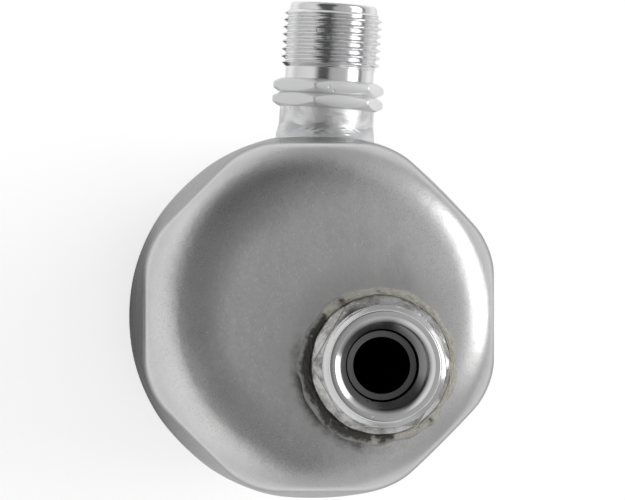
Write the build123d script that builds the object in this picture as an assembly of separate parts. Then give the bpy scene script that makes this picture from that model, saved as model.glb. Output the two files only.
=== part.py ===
from build123d import *
import os
from math import atan, cos, degrees, hypot, radians, sin, sqrt, tan

# Suction line accumulator: a sealed aluminium can that stands on its closed end with the port end up.
# The origin is the centre of the base, Z runs up the can's axis, and the side port points along +Y,
# turned a little towards +X. All sizes are in millimetres.

# Can
can_height = 192.0
body_radius = 35.5
can_wall = 2.2
crest_narrowing = 1.2
shoulder_fillet = 10.5
run_out_fillet = 60.0

# Flats pressed into the side behind the shoulder
flat_count = 8
flat_depth = 3.0
flat_corner_radius = 13.0
flats_length = 57.0

# Closing cap at the far end and its weld
cap_height = 20.0
cap_corner_radius = 8.0
spigot_length = 7.0
joggle_length = 3.0
seam_inset = 0.5
weld_groove = 1.3
weld_crown = 0.12

# Outlet port, on the face
outlet_x = 11.05
outlet_y = -8.8
outlet_thread_radius = 11.11
outlet_root_radius = 10.12
outlet_pilot_radius = 10.15
outlet_hex_width = 22.3
outlet_hex_turn = 0.0
outlet_neck_radius = 10.7
outlet_neck_height = 4.0
outlet_spigot_radius = 9.3
outlet_mouth_radius = 9.0
outlet_socket_radius = 8.05
outlet_socket_depth = 13.0
outlet_step_radius = 7.2
outlet_tube_gap = 0.35
outlet_tube_depth = 18.0
outlet_braze_width = 4.6
outlet_braze_height = 3.2
outlet_braze_hollow = 0.34

# Inlet port, on the side
inlet_drop = 45.0
inlet_turn = 3.9
inlet_thread_radius = 9.525
inlet_root_radius = 8.53
inlet_pilot_radius = 8.32
inlet_hex_width = 19.3
inlet_hex_turn = -15.5
inlet_neck_radius = 9.1
inlet_neck_height = 4.6
inlet_spigot_radius = 7.8
inlet_mouth_radius = 7.3
inlet_socket_radius = 6.45
inlet_socket_depth = 12.0
inlet_bore_radius = 5.3
inlet_braze_width = 2.0
inlet_braze_height = 1.9
inlet_braze_tuck = 0.5
inlet_braze_hollow = 0.42

# What both fittings share
thread_length = 11.0
thread_chamfer = 0.8
pilot_length = 1.5
relief_length = 2.3
hex_thickness = 2.7
hex_chamfer_angle = 25.0
hex_groove_depth = 0.45
spigot_stand_in = 2.5
mouth_lead_in = 1.5
edge_break = 0.3
fit_clearance = 0.1

# Pickup tube
tube_radius = 6.35
tube_wall = 1.1
tube_floor_gap = 10.5
tube_mouth_drop = 18.0
bleed_hole_radius = 0.6
siphon_hole_radius = 0.8
siphon_hole_drop = 30.0
tube_braze_height = 1.8
tube_braze_width = 1.6
tube_braze_hollow = 0.34

# Vapour deflector and the ring that holds it
deflector_gap = 5.8
deflector_wall = 1.3
deflector_top_drop = 10.5
deflector_below_inlet = 15.0
deflector_tube_gap = 1.97595
retainer_radius = 8.3
retainer_gap = 0.07405
retainer_thickness = 0.8
retainer_teeth = 6

# Spacer between the tube's legs
spacer_drop = 82.0
spacer_thickness = 4.0
spacer_rim = 2.6
spacer_web = 5.0

# Oil filter on the bend
filter_half_angle = 24.0
filter_shell = 1.6
filter_split = 0.2
filter_cage_radius = 6.2
filter_cage_wall = 1.2
filter_cage_turn = 30.0
filter_floor_gap = 0.6
filter_windows = 4
filter_window_width = 4.0
filter_window_sill = 1.6
screen_wall = 0.5

# Desiccant bags and their straps
bag_height = 52.0
bag_spacer_gap = 6.0
bag_tube_gap = 0.3
bag_corner_radius = 6.0
bag_end_radius = 5.0
tie_width = 4.6
tie_thickness = 1.2
tie_inset = 11.0
tie_head_length = 6.0
tie_head_thickness = 1.6
tie_can_gap = 0.4

# Worked out from the sizes above
crest_radius = body_radius - crest_narrowing
flat_apothem = body_radius - flat_depth
crest_z = can_height - shoulder_fillet
run_out_z = crest_z - flats_length
inlet_z = crest_z - inlet_drop
inner_radius = body_radius - can_wall
cap_radius = body_radius - seam_inset
nose_length = 2 * hex_thickness + relief_length + thread_length + pilot_length
outlet_height = outlet_neck_height + nose_length
inlet_hexes_z = body_radius + inlet_neck_height
inlet_reach = inlet_hexes_z + nose_length
outlet_offset = hypot(outlet_x, outlet_y)
deflector_radius = inner_radius - deflector_gap
deflector_corner_radius = deflector_radius - outlet_offset - retainer_radius - retainer_gap
mouth_leg_offset = deflector_radius - deflector_wall - deflector_tube_gap - tube_radius
leg_spacing = outlet_offset + mouth_leg_offset
tube_bend_radius = leg_spacing / 2
across_x, across_y = -outlet_x / outlet_offset, -outlet_y / outlet_offset
mouth_leg_x = outlet_x + leg_spacing * across_x
mouth_leg_y = outlet_y + leg_spacing * across_y
tube_end_z = can_height + outlet_height - outlet_tube_depth
tube_mouth_z = can_height - tube_mouth_drop
bend_z = can_wall + tube_floor_gap + tube_radius + tube_bend_radius
deflector_top_z = can_height - deflector_top_drop
spacer_z = can_height - spacer_drop
bag_top_z = spacer_z - bag_spacer_gap
bag_radius = inner_radius - tie_can_gap - tie_head_thickness - tie_thickness - fit_clearance


def turned(points):
    """A solid turned about Z from its half profile, given as radius and height pairs."""
    profile = make_face(Plane.XZ * Polyline(*points, close=True))
    return revolve(profile, Axis.Z)


def rounded_octagon(apothem, corner_radius, z):
    """The end's outline at one height: flats joined by tangent arcs."""
    outline = RegularPolygon(apothem, flat_count, major_radius=False, rotation=180 / flat_count)
    return Plane.XY.offset(z) * fillet(outline.vertices(), corner_radius)


def can_form(inset, bottom):
    """The closed end, shoulder and side as a filled solid, inset evenly for the inside."""
    narrowing = (body_radius - crest_radius) / flats_length
    top = can_height - inset
    rim = crest_radius - narrowing * shoulder_fillet - inset
    side = body_radius - inset
    section = make_face(
        Plane.XZ * Polyline((0, bottom), (side, bottom), (side, run_out_z), (rim, top), (0, top), close=True)
    )
    shoulder = section.vertices().filter_by(lambda v: v.X > 1 and v.Z > top - 0.01)
    section = fillet(shoulder, shoulder_fillet - inset)
    soft = section.vertices().filter_by(lambda v: abs(v.Z - run_out_z) < 0.01)
    section = fillet(soft, run_out_fillet - inset)
    drawn = revolve(section, Axis.Z)

    slope = (body_radius - flat_apothem) / flats_length
    above, below = can_height + 1 - crest_z, crest_z - bottom + 1
    pressed = loft(
        [
            rounded_octagon(
                flat_apothem - inset + slope * below, flat_corner_radius - inset + slope * below, bottom - 1
            ),
            rounded_octagon(
                flat_apothem - inset - slope * above, flat_corner_radius - inset - slope * above, can_height + 1
            ),
        ],
        ruled=True,
    )
    return drawn & pressed


def inlet_plane():
    """Origin on the can's axis, Z out along the side port, X up the can."""
    angle = radians(90 - inlet_turn)
    return Plane(origin=(0, 0, inlet_z), x_dir=(0, 0, 1), z_dir=(cos(angle), sin(angle), 0))


def outlet_place():
    return Pos(outlet_x, outlet_y, can_height)


def double_hex(width, turn, bottom):
    """Two thin hexagons, each chamfered on both faces, which leaves a groove between them."""
    corner = width / 2 / cos(radians(30))
    root = width / 2 - hex_groove_depth
    drop = (corner - root) * tan(radians(hex_chamfer_angle))
    prism = extrude(RegularPolygon(width / 2, 6, major_radius=False, rotation=turn), 2 * hex_thickness)
    outline = [(0, 0), (root, 0)]
    for start in (0, hex_thickness):
        outline += [
            (corner, start + drop),
            (corner, start + hex_thickness - drop),
            (root, start + hex_thickness),
        ]
    outline += [(0, 2 * hex_thickness)]
    return Pos(0, 0, bottom) * (prism & turned(outline))


def threaded_nose(thread_radius, root_radius, pilot_radius, bottom):
    """The relief, the thread at its full diameter and the plain pilot in front of it."""
    start = bottom + relief_length
    end = start + thread_length
    tip = end + pilot_length
    return turned(
        [
            (0, bottom),
            (root_radius, bottom),
            (root_radius, start),
            (thread_radius, start + thread_chamfer),
            (thread_radius, end - thread_chamfer),
            (pilot_radius, end),
            (pilot_radius, tip - edge_break),
            (pilot_radius - edge_break, tip),
            (0, tip),
        ]
    )


def make_body_shell():
    shell = can_form(0, cap_height) - can_form(can_wall, cap_height - 1)
    hole = Cylinder(outlet_spigot_radius + fit_clearance, 4 * can_wall)
    shell -= outlet_place() * hole
    side_hole = Cylinder(inlet_spigot_radius + fit_clearance, 8 * can_wall)
    shell -= inlet_plane() * Pos(0, 0, body_radius) * side_hole
    root, low, high = weld_points()
    prep = turned(
        [(root[0], low[1]), root, high, (2 * body_radius, high[1]), (2 * body_radius, low[1])]
    )
    return shell - prep


def weld_points():
    """The groove's root and its lower and upper edges, as radius and height pairs."""
    root = (cap_radius - weld_groove, cap_height)
    return root, (cap_radius, cap_height - weld_groove), (body_radius, cap_height + weld_groove + seam_inset)


def make_bottom_cap():
    """A drawn cap with a joggled rim that slides up inside the shell."""
    spigot = inner_radius - fit_clearance
    spigot_inner = spigot - can_wall
    root, low, high = weld_points()
    outer = make_face(
        Plane.XZ
        * Polyline(
            (0, 0),
            (cap_radius, 0),
            low,
            root,
            (spigot, cap_height),
            (spigot, cap_height + spigot_length),
            (0, cap_height + spigot_length),
            close=True,
        )
    )
    outer = fillet(outer.vertices().filter_by(lambda v: v.X > 1 and v.Z < 0.01), cap_corner_radius)
    inner = make_face(
        Plane.XZ
        * Polyline(
            (0, can_wall),
            (cap_radius - can_wall, can_wall),
            (cap_radius - can_wall, cap_height - can_wall - joggle_length),
            (spigot_inner, cap_height - can_wall),
            (spigot_inner, cap_height + spigot_length + 1),
            (0, cap_height + spigot_length + 1),
            close=True,
        )
    )
    floor_edge = inner.vertices().filter_by(lambda v: v.X > 1 and v.Z < can_wall + 0.01)
    inner = fillet(floor_edge, cap_corner_radius - can_wall)
    return revolve(outer, Axis.Z) - revolve(inner, Axis.Z)


def make_bottom_weld():
    """A bead that fills the groove between shell and cap, crowned but no wider than the shell."""
    root, low, high = weld_points()
    middle = ((low[0] + high[0]) / 2 + weld_crown, (low[1] + high[1]) / 2)
    outline = ThreePointArc(low, middle, high) + Polyline(high, root, low)
    return revolve(make_face(Plane.XZ * outline), Axis.Z)


def make_outlet_fitting():
    stand_in = can_wall + spigot_stand_in
    neck = turned(
        [
            (0, -stand_in),
            (outlet_spigot_radius - edge_break, -stand_in),
            (outlet_spigot_radius, -stand_in + edge_break),
            (outlet_spigot_radius, 0),
            (outlet_neck_radius, 0),
            (outlet_neck_radius, outlet_neck_height),
            (0, outlet_neck_height),
        ]
    )
    nose_z = outlet_neck_height + 2 * hex_thickness
    solid = neck + double_hex(outlet_hex_width, outlet_hex_turn, outlet_neck_height)
    solid += threaded_nose(outlet_thread_radius, outlet_root_radius, outlet_pilot_radius, nose_z)
    seat_z = outlet_height - outlet_socket_depth
    step_z = seat_z - (outlet_socket_radius - outlet_step_radius)
    shelf_z = outlet_height - outlet_tube_depth - tube_radius / 2
    bore = turned(
        [
            (0, -stand_in - 1),
            (tube_radius + fit_clearance, -stand_in - 1),
            (tube_radius + fit_clearance, shelf_z),
            (tube_radius + outlet_tube_gap, shelf_z + outlet_tube_gap),
            (tube_radius + outlet_tube_gap, step_z - mouth_lead_in),
            (outlet_step_radius, step_z - mouth_lead_in),
            (outlet_step_radius, step_z),
            (outlet_socket_radius, seat_z),
            (outlet_socket_radius, outlet_height - mouth_lead_in),
            (outlet_mouth_radius, outlet_height),
            (outlet_mouth_radius, outlet_height + 1),
            (0, outlet_height + 1),
        ]
    )
    return outlet_place() * (solid - bore)


def make_inlet_fitting(can):
    """Turned about its own axis, with the neck cut to sit on the can's curved side."""
    inside = inner_radius - spigot_stand_in
    nose_z = inlet_hexes_z + 2 * hex_thickness
    neck = Pos(0, 0, inside) * Cylinder(
        inlet_neck_radius, inlet_hexes_z - inside, align=(Align.CENTER, Align.CENTER, Align.MIN)
    )
    spigot = turned(
        [
            (0, inside),
            (inlet_spigot_radius - edge_break, inside),
            (inlet_spigot_radius, inside + edge_break),
            (inlet_spigot_radius, inlet_hexes_z),
            (0, inlet_hexes_z),
        ]
    )
    nose = double_hex(inlet_hex_width, inlet_hex_turn, inlet_hexes_z)
    nose += threaded_nose(inlet_thread_radius, inlet_root_radius, inlet_pilot_radius, nose_z)
    seat_z = inlet_reach - inlet_socket_depth
    bore = turned(
        [
            (0, inside - 1),
            (inlet_bore_radius, inside - 1),
            (inlet_bore_radius, seat_z - (inlet_socket_radius - inlet_bore_radius)),
            (inlet_socket_radius, seat_z),
            (inlet_socket_radius, inlet_reach - mouth_lead_in),
            (inlet_mouth_radius, inlet_reach),
            (inlet_mouth_radius, inlet_reach + 1),
            (0, inlet_reach + 1),
        ]
    )
    place = inlet_plane()
    seated = (place * neck) - can
    return seated + place * spigot + place * nose - place * bore


def braze_fillet(neck_radius, width, top, toe, bottom, hollow):
    """A ring with a hollow face from its top to its toe, run on below so that the can's form can trim it."""
    belly = (neck_radius + hollow * width, toe + hollow * (top - toe))
    face = ThreePointArc((neck_radius + width, toe), belly, (neck_radius, top))
    back = Polyline(face @ 1, (neck_radius, bottom), (neck_radius + width, bottom), face @ 0)
    return revolve(make_face(Plane.XZ * (face + back)), Axis.Z)


def make_outlet_braze(can):
    depth = shoulder_fillet / 3
    ring = braze_fillet(
        outlet_neck_radius, outlet_braze_width, outlet_braze_height, 0, -depth, outlet_braze_hollow
    )
    return outlet_place() * ring - can


def make_inlet_braze(can):
    saddle = sqrt(body_radius**2 - (inlet_neck_radius + inlet_braze_width) ** 2)
    toe = saddle - inlet_braze_tuck
    top = body_radius + inlet_braze_height
    ring = braze_fillet(inlet_neck_radius, inlet_braze_width, top, toe, toe - can_wall, inlet_braze_hollow)
    return inlet_plane() * ring - can


def tube_route():
    """Down from the outlet, round the bend near the floor and up to the open mouth."""
    down = Line((outlet_x, outlet_y, tube_end_z), (outlet_x, outlet_y, bend_z))
    lowest = (
        outlet_x + tube_bend_radius * across_x,
        outlet_y + tube_bend_radius * across_y,
        bend_z - tube_bend_radius,
    )
    bend = ThreePointArc(down @ 1, lowest, (mouth_leg_x, mouth_leg_y, bend_z))
    up = Line(bend @ 1, (mouth_leg_x, mouth_leg_y, tube_mouth_z))
    return down + bend + up


def make_pickup_tube():
    route = tube_route()
    start = Plane(origin=(outlet_x, outlet_y, tube_end_z), z_dir=(0, 0, -1))
    tube = sweep(start * Circle(tube_radius), route) - sweep(start * Circle(tube_radius - tube_wall), route)
    bend_x = (outlet_x + mouth_leg_x) / 2
    bend_y = (outlet_y + mouth_leg_y) / 2
    bleed = Cylinder(bleed_hole_radius, 4 * tube_wall)
    tube -= Pos(bend_x, bend_y, bend_z - tube_bend_radius - tube_radius) * bleed
    siphon = Rot(0, 90, 0) * Cylinder(siphon_hole_radius, 4 * tube_wall)
    tube -= Pos(outlet_x + tube_radius, outlet_y, can_height - siphon_hole_drop) * siphon
    return tube


def make_tube_braze():
    """Fillet where the tube leaves the underside of the outlet fitting."""
    under = can_height - can_wall - spigot_stand_in
    toe, low = (tube_radius + tube_braze_width, under), (tube_radius, under - tube_braze_height)
    belly = (
        tube_radius + tube_braze_hollow * tube_braze_width,
        under - tube_braze_hollow * tube_braze_height,
    )
    outline = ThreePointArc(toe, belly, low) + Polyline(low, (tube_radius, under), toe)
    return Pos(outlet_x, outlet_y) * revolve(make_face(Plane.XZ * outline), Axis.Z)


def make_vapour_deflector():
    """An inverted cup that hangs round the tube's mouth and reaches below the side port."""
    bottom = inlet_z - deflector_below_inlet
    height = deflector_top_z - bottom
    at_bottom = (Align.CENTER, Align.CENTER, Align.MIN)
    cup = Cylinder(deflector_radius, height, align=at_bottom)
    cup = fillet(cup.edges().group_by(Axis.Z)[-1], deflector_corner_radius)
    hollow = Cylinder(deflector_radius - deflector_wall, height - deflector_wall, align=at_bottom)
    hollow = fillet(hollow.edges().group_by(Axis.Z)[-1], deflector_corner_radius - deflector_wall)
    hole = Cylinder(tube_radius + fit_clearance, 4 * height)
    return Pos(0, 0, bottom) * (cup - hollow) - Pos(outlet_x, outlet_y, deflector_top_z) * hole


def make_deflector_retainer():
    """A sprung ring with slots that leave teeth against the tube."""
    ring = Cylinder(retainer_radius, retainer_thickness) - Cylinder(
        tube_radius + fit_clearance, 2 * retainer_thickness
    )
    slot = Pos(tube_radius, 0) * Box(2 * (retainer_radius - tube_radius) / 2, 1.0, 2 * retainer_thickness)
    for k in range(retainer_teeth):
        ring -= Rot(0, 0, 360 / retainer_teeth * k) * slot
    under = deflector_top_z - deflector_wall - retainer_thickness / 2
    return Pos(outlet_x, outlet_y, under) * ring


def make_tube_spacer():
    """Two collars round the tube's legs joined by a web."""
    collar = Cylinder(tube_radius + spacer_rim, spacer_thickness)
    hole = Cylinder(tube_radius + fit_clearance, 2 * spacer_thickness)
    web = Box(leg_spacing - 2 * tube_radius, spacer_web, spacer_thickness)
    half = leg_spacing / 2
    plate = Pos(-half, 0) * collar + Pos(half, 0) * collar + web
    plate -= Pos(-half, 0) * hole + Pos(half, 0) * hole
    return bend_frame(spacer_z) * plate


def bend_frame(z):
    """Origin midway between the tube's legs, X from the outlet leg to the mouth leg, Z up."""
    middle = ((outlet_x + mouth_leg_x) / 2, (outlet_y + mouth_leg_y) / 2, z)
    return Plane(origin=middle, x_dir=(across_x, across_y, 0), z_dir=(0, 0, 1))


def bend_sleeve(inner, outer, half_angle):
    """A sleeve round the lowest part of the bend, in the frame of the bend's centre, its seam underneath."""
    section = Circle(outer) - Circle(inner) if inner else Circle(outer)
    start = Plane.YZ * Pos(0, -tube_bend_radius) * Rot(0, 0, -90) * section
    return Rot(0, -half_angle, 0) * revolve(start, Axis.Y, 2 * half_angle)


def filter_half(side):
    """One half of the sleeve's outer form, split level at the tube's centre line: side 1 is the upper half."""
    outer = tube_radius + fit_clearance + filter_shell
    room = 4 * outer
    half = Pos(0, 0, -tube_bend_radius + side * (room + filter_split) / 2) * Box(room, room, room)
    return bend_sleeve(0, outer, filter_half_angle) & half


def make_filter_clip():
    tube_space = bend_sleeve(0, tube_radius + fit_clearance, 2 * filter_half_angle)
    return bend_frame(bend_z) * (filter_half(1) - tube_space)


def cage_height():
    return bend_z - tube_bend_radius - can_wall - filter_floor_gap


def make_filter_body():
    """The lower half with a windowed cage under it, open to the tube's bleed hole."""
    at_top = (Align.CENTER, Align.CENTER, Align.MAX)
    top = tube_radius / 2
    turn = Rot(0, 0, filter_cage_turn)
    cage = Pos(0, 0, -top) * turn * Cylinder(filter_cage_radius, cage_height() - top, align=at_top)
    room = turn * Cylinder(
        filter_cage_radius - filter_cage_wall, cage_height() - filter_cage_wall, align=at_top
    )
    floor_z = -cage_height()
    window_top = -tube_radius - filter_shell - filter_window_sill / 2
    window_height = window_top - (floor_z + filter_cage_wall + filter_window_sill / 2)
    window = Pos(0, 0, window_top - window_height / 2) * Box(
        4 * filter_cage_radius, filter_window_width, window_height
    )
    in_bend = Pos(0, 0, -tube_bend_radius)
    body = filter_half(-1) + in_bend * cage
    body -= bend_sleeve(0, tube_radius + fit_clearance, 2 * filter_half_angle)
    body -= in_bend * room
    for k in range(filter_windows // 2):
        body -= in_bend * Rot(0, 0, 45 + 180 / (filter_windows // 2) * k) * window
    return bend_frame(bend_z) * body


def make_filter_screen():
    outer = filter_cage_radius - filter_cage_wall - fit_clearance
    height = cage_height() - filter_cage_wall - tube_radius - 2 * fit_clearance
    at_top = (Align.CENTER, Align.CENTER, Align.MAX)
    thimble = Cylinder(outer, height, align=at_top) - Cylinder(
        outer - screen_wall, height - screen_wall, align=at_top
    )
    return bend_frame(bend_z - tube_bend_radius - tube_radius - fit_clearance) * thimble


def make_desiccant_bag(side):
    """A filled bag whose flat face lies on the tube's legs and whose back follows the can."""
    flat = tube_radius + bag_tube_gap
    disc = Circle(bag_radius)
    keep = Pos(0, side * (flat + bag_radius)) * Rectangle(4 * bag_radius, 2 * bag_radius)
    section = disc & keep
    section = fillet(section.vertices(), bag_corner_radius)
    bag = extrude(section, -bag_height)
    bag = fillet(bag.edges().group_by(Axis.Z)[0] + bag.edges().group_by(Axis.Z)[-1], bag_end_radius)
    turn = degrees(atan(across_y / across_x))
    return Pos(0, 0, bag_top_z) * Rot(0, 0, turn) * bag


def make_bag_tie(z):
    """A strap pulled round both bags, with its locking head."""
    inner = bag_radius + fit_clearance
    strap = Cylinder(inner + tie_thickness, tie_width) - Cylinder(inner, 2 * tie_width)
    reach = inner + tie_thickness + tie_head_thickness / 2
    head = Pos(reach - tie_head_thickness / 2, 0) * Box(
        tie_head_thickness + tie_thickness, tie_head_length, tie_width
    )
    head -= Cylinder(inner + tie_thickness / 2, 2 * tie_width)
    turn = degrees(atan(across_y / across_x)) + 90
    return Pos(0, 0, z) * Rot(0, 0, turn) * (strap + head)


can = can_form(0, cap_height)
pieces = {
    "body_shell": make_body_shell(),
    "bottom_cap": make_bottom_cap(),
    "bottom_weld": make_bottom_weld(),
    "outlet_fitting": make_outlet_fitting(),
    "outlet_braze": make_outlet_braze(can),
    "inlet_fitting": make_inlet_fitting(can),
    "inlet_braze": make_inlet_braze(can),
    "pickup_tube": make_pickup_tube(),
    "tube_braze": make_tube_braze(),
    "vapour_deflector": make_vapour_deflector(),
    "deflector_retainer": make_deflector_retainer(),
    "tube_spacer": make_tube_spacer(),
    "filter_clip": make_filter_clip(),
    "filter_body": make_filter_body(),
    "filter_screen": make_filter_screen(),
    "desiccant_bag_front": make_desiccant_bag(-1),
    "desiccant_bag_rear": make_desiccant_bag(1),
    "bag_tie_upper": make_bag_tie(bag_top_z - tie_inset),
    "bag_tie_lower": make_bag_tie(bag_top_z - bag_height + tie_inset),
}

os.makedirs("parts", exist_ok=True)
for name, piece in pieces.items():
    export_step(piece, f"parts/{name}.step")
    print(name, "volume", round(piece.volume))
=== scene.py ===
import math

import bmesh
import bpy
import numpy as np
from mathutils import Matrix, Vector


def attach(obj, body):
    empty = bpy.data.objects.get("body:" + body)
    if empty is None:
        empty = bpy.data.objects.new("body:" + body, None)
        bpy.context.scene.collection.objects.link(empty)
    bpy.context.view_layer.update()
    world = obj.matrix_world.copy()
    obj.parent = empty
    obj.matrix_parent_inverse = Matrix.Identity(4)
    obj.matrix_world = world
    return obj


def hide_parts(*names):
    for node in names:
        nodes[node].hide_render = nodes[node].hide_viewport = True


# Suction line accumulator, seen down its own axis on a white floor.
# Shapes are worked out in millimetres and become metres when the mesh is made.
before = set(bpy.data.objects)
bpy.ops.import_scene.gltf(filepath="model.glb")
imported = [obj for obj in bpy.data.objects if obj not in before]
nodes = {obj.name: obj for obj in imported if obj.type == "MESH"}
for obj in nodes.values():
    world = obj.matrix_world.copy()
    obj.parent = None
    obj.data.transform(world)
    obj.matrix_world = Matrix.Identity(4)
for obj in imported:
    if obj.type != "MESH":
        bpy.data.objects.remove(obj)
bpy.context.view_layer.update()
print("frame loaded:", len(nodes), "nodes")


# Shader building

class Wire:
    # wraps an output socket, so that arithmetic on it adds Math nodes
    def __init__(self, paint, socket):
        self.paint, self.socket = paint, socket

    def __add__(self, other):
        return self.paint.calc("ADD", self, other)

    __radd__ = __add__

    def __sub__(self, other):
        return self.paint.calc("SUBTRACT", self, other)

    def __rsub__(self, other):
        return self.paint.calc("SUBTRACT", other, self)

    def __mul__(self, other):
        return self.paint.calc("MULTIPLY", self, other)

    def __truediv__(self, other):
        return self.paint.calc("DIVIDE", self, other)

    def __abs__(self):
        return self.paint.calc("ABSOLUTE", self)


class Paint:
    # the node tree of a material or world, with short calls for what the finishes below use
    def __init__(self, owner):
        owner.use_nodes = True
        self.owner, self.tree = owner, owner.node_tree
        self.tree.nodes.clear()

    def node(self, kind, settings=None, values=None, out=0):
        made = self.tree.nodes.new(kind)
        for name, value in (settings or {}).items():
            if name == "stops":
                elements = made.color_ramp.elements
                elements.remove(elements[1])
                elements[0].position = value[0][0]
                for place, colour in value[1:]:
                    elements.new(place)
                for element, (place, colour) in zip(elements, value):
                    element.color = (*colour, 1)
            else:
                setattr(made, name, value)
        for name, value in (values or {}).items():
            if isinstance(value, Wire):
                self.tree.links.new(value.socket, made.inputs[name])
            else:
                made.inputs[name].default_value = value
        return Wire(self, made.outputs[out]) if len(made.outputs) else None

    def calc(self, operation, *terms):
        return self.node("ShaderNodeMath", {"operation": operation}, dict(enumerate(terms)))

    def distance(self, x, y):
        return self.calc("SQRT", x * x + y * y)

    def place(self):
        return self.node("ShaderNodeTexCoord", out="Object")

    def pattern(self):
        return self.node("ShaderNodeAttribute", {"attribute_name": "pattern"}, out="Vector")

    def axes(self, vector):
        split = self.node("ShaderNodeSeparateXYZ", values={0: vector})
        return [Wire(self, split.socket.node.outputs[k]) for k in range(3)]

    def stretched(self, vector, scale, location=(0, 0, 0)):
        return self.node("ShaderNodeMapping", values={"Vector": vector, "Scale": scale, "Location": location})

    def noise(self, vector, scale, detail=3.0, roughness=0.5, distortion=0.0):
        values = {"Vector": vector, "Scale": scale, "Detail": detail, "Roughness": roughness, "Distortion": distortion}
        return self.node("ShaderNodeTexNoise", values=values)

    def cells(self, vector, scale):
        return self.node("ShaderNodeTexVoronoi", values={"Vector": vector, "Scale": scale})

    def ease(self, value, low, high, start=0.0, end=1.0):
        values = {"Value": value, "From Min": low, "From Max": high, "To Min": start, "To Max": end}
        return self.node("ShaderNodeMapRange", {"interpolation_type": "SMOOTHSTEP"}, values)

    def blend(self, factor, first, second):
        # mixes two colours; a number is a grey
        colours = [(c, c, c) if isinstance(c, float) else c for c in (first, second)]
        colours = [(*c, 1) if isinstance(c, tuple) else c for c in colours]
        return self.node("ShaderNodeMix", {"data_type": "RGBA"}, {0: factor, 6: colours[0], 7: colours[1]}, out=2)

    def bump(self, height, strength, distance, normal=None):
        values = {"Height": height, "Strength": strength, "Distance": distance}
        if normal is not None:
            values["Normal"] = normal
        return self.node("ShaderNodeBump", values=values)

    def surface(self, **values):
        shader = self.node("ShaderNodeBsdfPrincipled", values={k.replace("_", " "): v for k, v in values.items()})
        self.node("ShaderNodeOutputMaterial", values={"Surface": shader})
        return self.owner


def newFinish(name):
    paint = Paint(bpy.data.materials.new(name))
    return paint, paint.place()


# Mesh building

def ringFaces(rows, columns, closeRows):
    # quads between neighbouring rows; each row of columns is a closed ring
    row = np.arange(rows if closeRows else rows - 1)[:, None]
    column = np.arange(columns)[None, :]
    nextRow, nextColumn = (row + 1) % rows, (column + 1) % columns
    corners = [(row, column), (row, nextColumn), (nextRow, nextColumn), (nextRow, column)]
    return np.stack([r * columns + c for r, c in corners], -1).reshape(-1, 4)


def ringAngles(columns):
    # evenly spaced angles round a ring, as one row
    return 2 * np.pi / columns * np.arange(columns)[None, :]


def placed(radius, angle, height, centre=(0.0, 0.0)):
    # points from radius, angle and height round an upright axis
    x, y = centre[0] + radius * np.cos(angle), centre[1] + radius * np.sin(angle)
    return np.stack([x, y, height + 0 * x], -1)


def addObject(name, data):
    made = bpy.data.objects.new(name, data)
    bpy.context.scene.collection.objects.link(made)
    return made


def addPiece(name, mesh, finish, node):
    mesh.materials.append(finish)
    piece = addObject(name, mesh)
    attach(piece, "root")
    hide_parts(node)
    return piece


def makePiece(name, points, faces, finish, node, sharpAngle=35.0, pattern=None):
    # a closed mesh from points in millimetres; its faces are turned outwards by the sign of its volume
    points = np.asarray(points, float).reshape(-1, 3)
    a, b, c, d = (points[faces[:, k]] for k in range(4))
    volume = np.einsum("ij,ij->i", a, np.cross(b, c) + np.cross(c, d)).sum()
    if volume < 0:
        faces = faces[:, ::-1]
    mesh = bpy.data.meshes.new(name)
    mesh.from_pydata((points / 1000).tolist(), [], faces.tolist())
    if pattern is not None:
        layer = mesh.attributes.new("pattern", "FLOAT_VECTOR", "POINT")
        layer.data.foreach_set("vector", np.asarray(pattern, np.float32).reshape(-1))
    mesh.validate()
    mesh.shade_smooth()
    mesh.set_sharp_from_angle(angle=math.radians(sharpAngle))
    piece = addPiece(name, mesh, finish, node)
    print("made", name, len(faces), "faces, volume", round(abs(volume) / 6), "mm3")
    return piece


def waves(angle, height, count, reach, seed):
    # uneven surface: a sum of sines with whole turns round the ring and random phases, from -1 to 1
    chance = np.random.default_rng(seed)
    total = 0
    for _ in range(count):
        turns, climb, phase = chance.integers(1, reach), chance.normal(0, reach / 9), chance.uniform(0, 2 * np.pi)
        total = total + np.sin(turns * angle + climb * height + phase)
    return total / math.sqrt(count) / 1.6


def softMin(a, b, width):
    # the smaller of two values, rounded where they meet
    share = np.clip(0.5 + 0.5 * (b - a) / width, 0, 1)
    return b * (1 - share) + a * share - width * share * (1 - share)


# The can's form

can = {
    "height": 192.0,
    "wall": 2.2,
    "bodyRadius": 35.5,
    "crestRadius": 34.3,
    "crestZ": 181.5,
    "runOutZ": 124.5,
    "flatApothem": 32.5,
    "flatCorner": 13.0,
    "flatCount": 8,
    "seamZ": 20.0,
    "seamRoot": 33.7,
    "seamTop": 21.8,
    "shoulderKnots": [(17.0, 0.0), (25.6, 0.20), (30.2, 0.54), (34.3, 1.0)],
    "pressedEdge": 0.9,
    "arcStep": 0.28,
    # rings and edge radius of the flat face, and of its inside
    "face": (26, 26.0),
    "innerFace": (14, 24.0),
    "columns": 320,
    "windowCells": 10,
}


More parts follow.
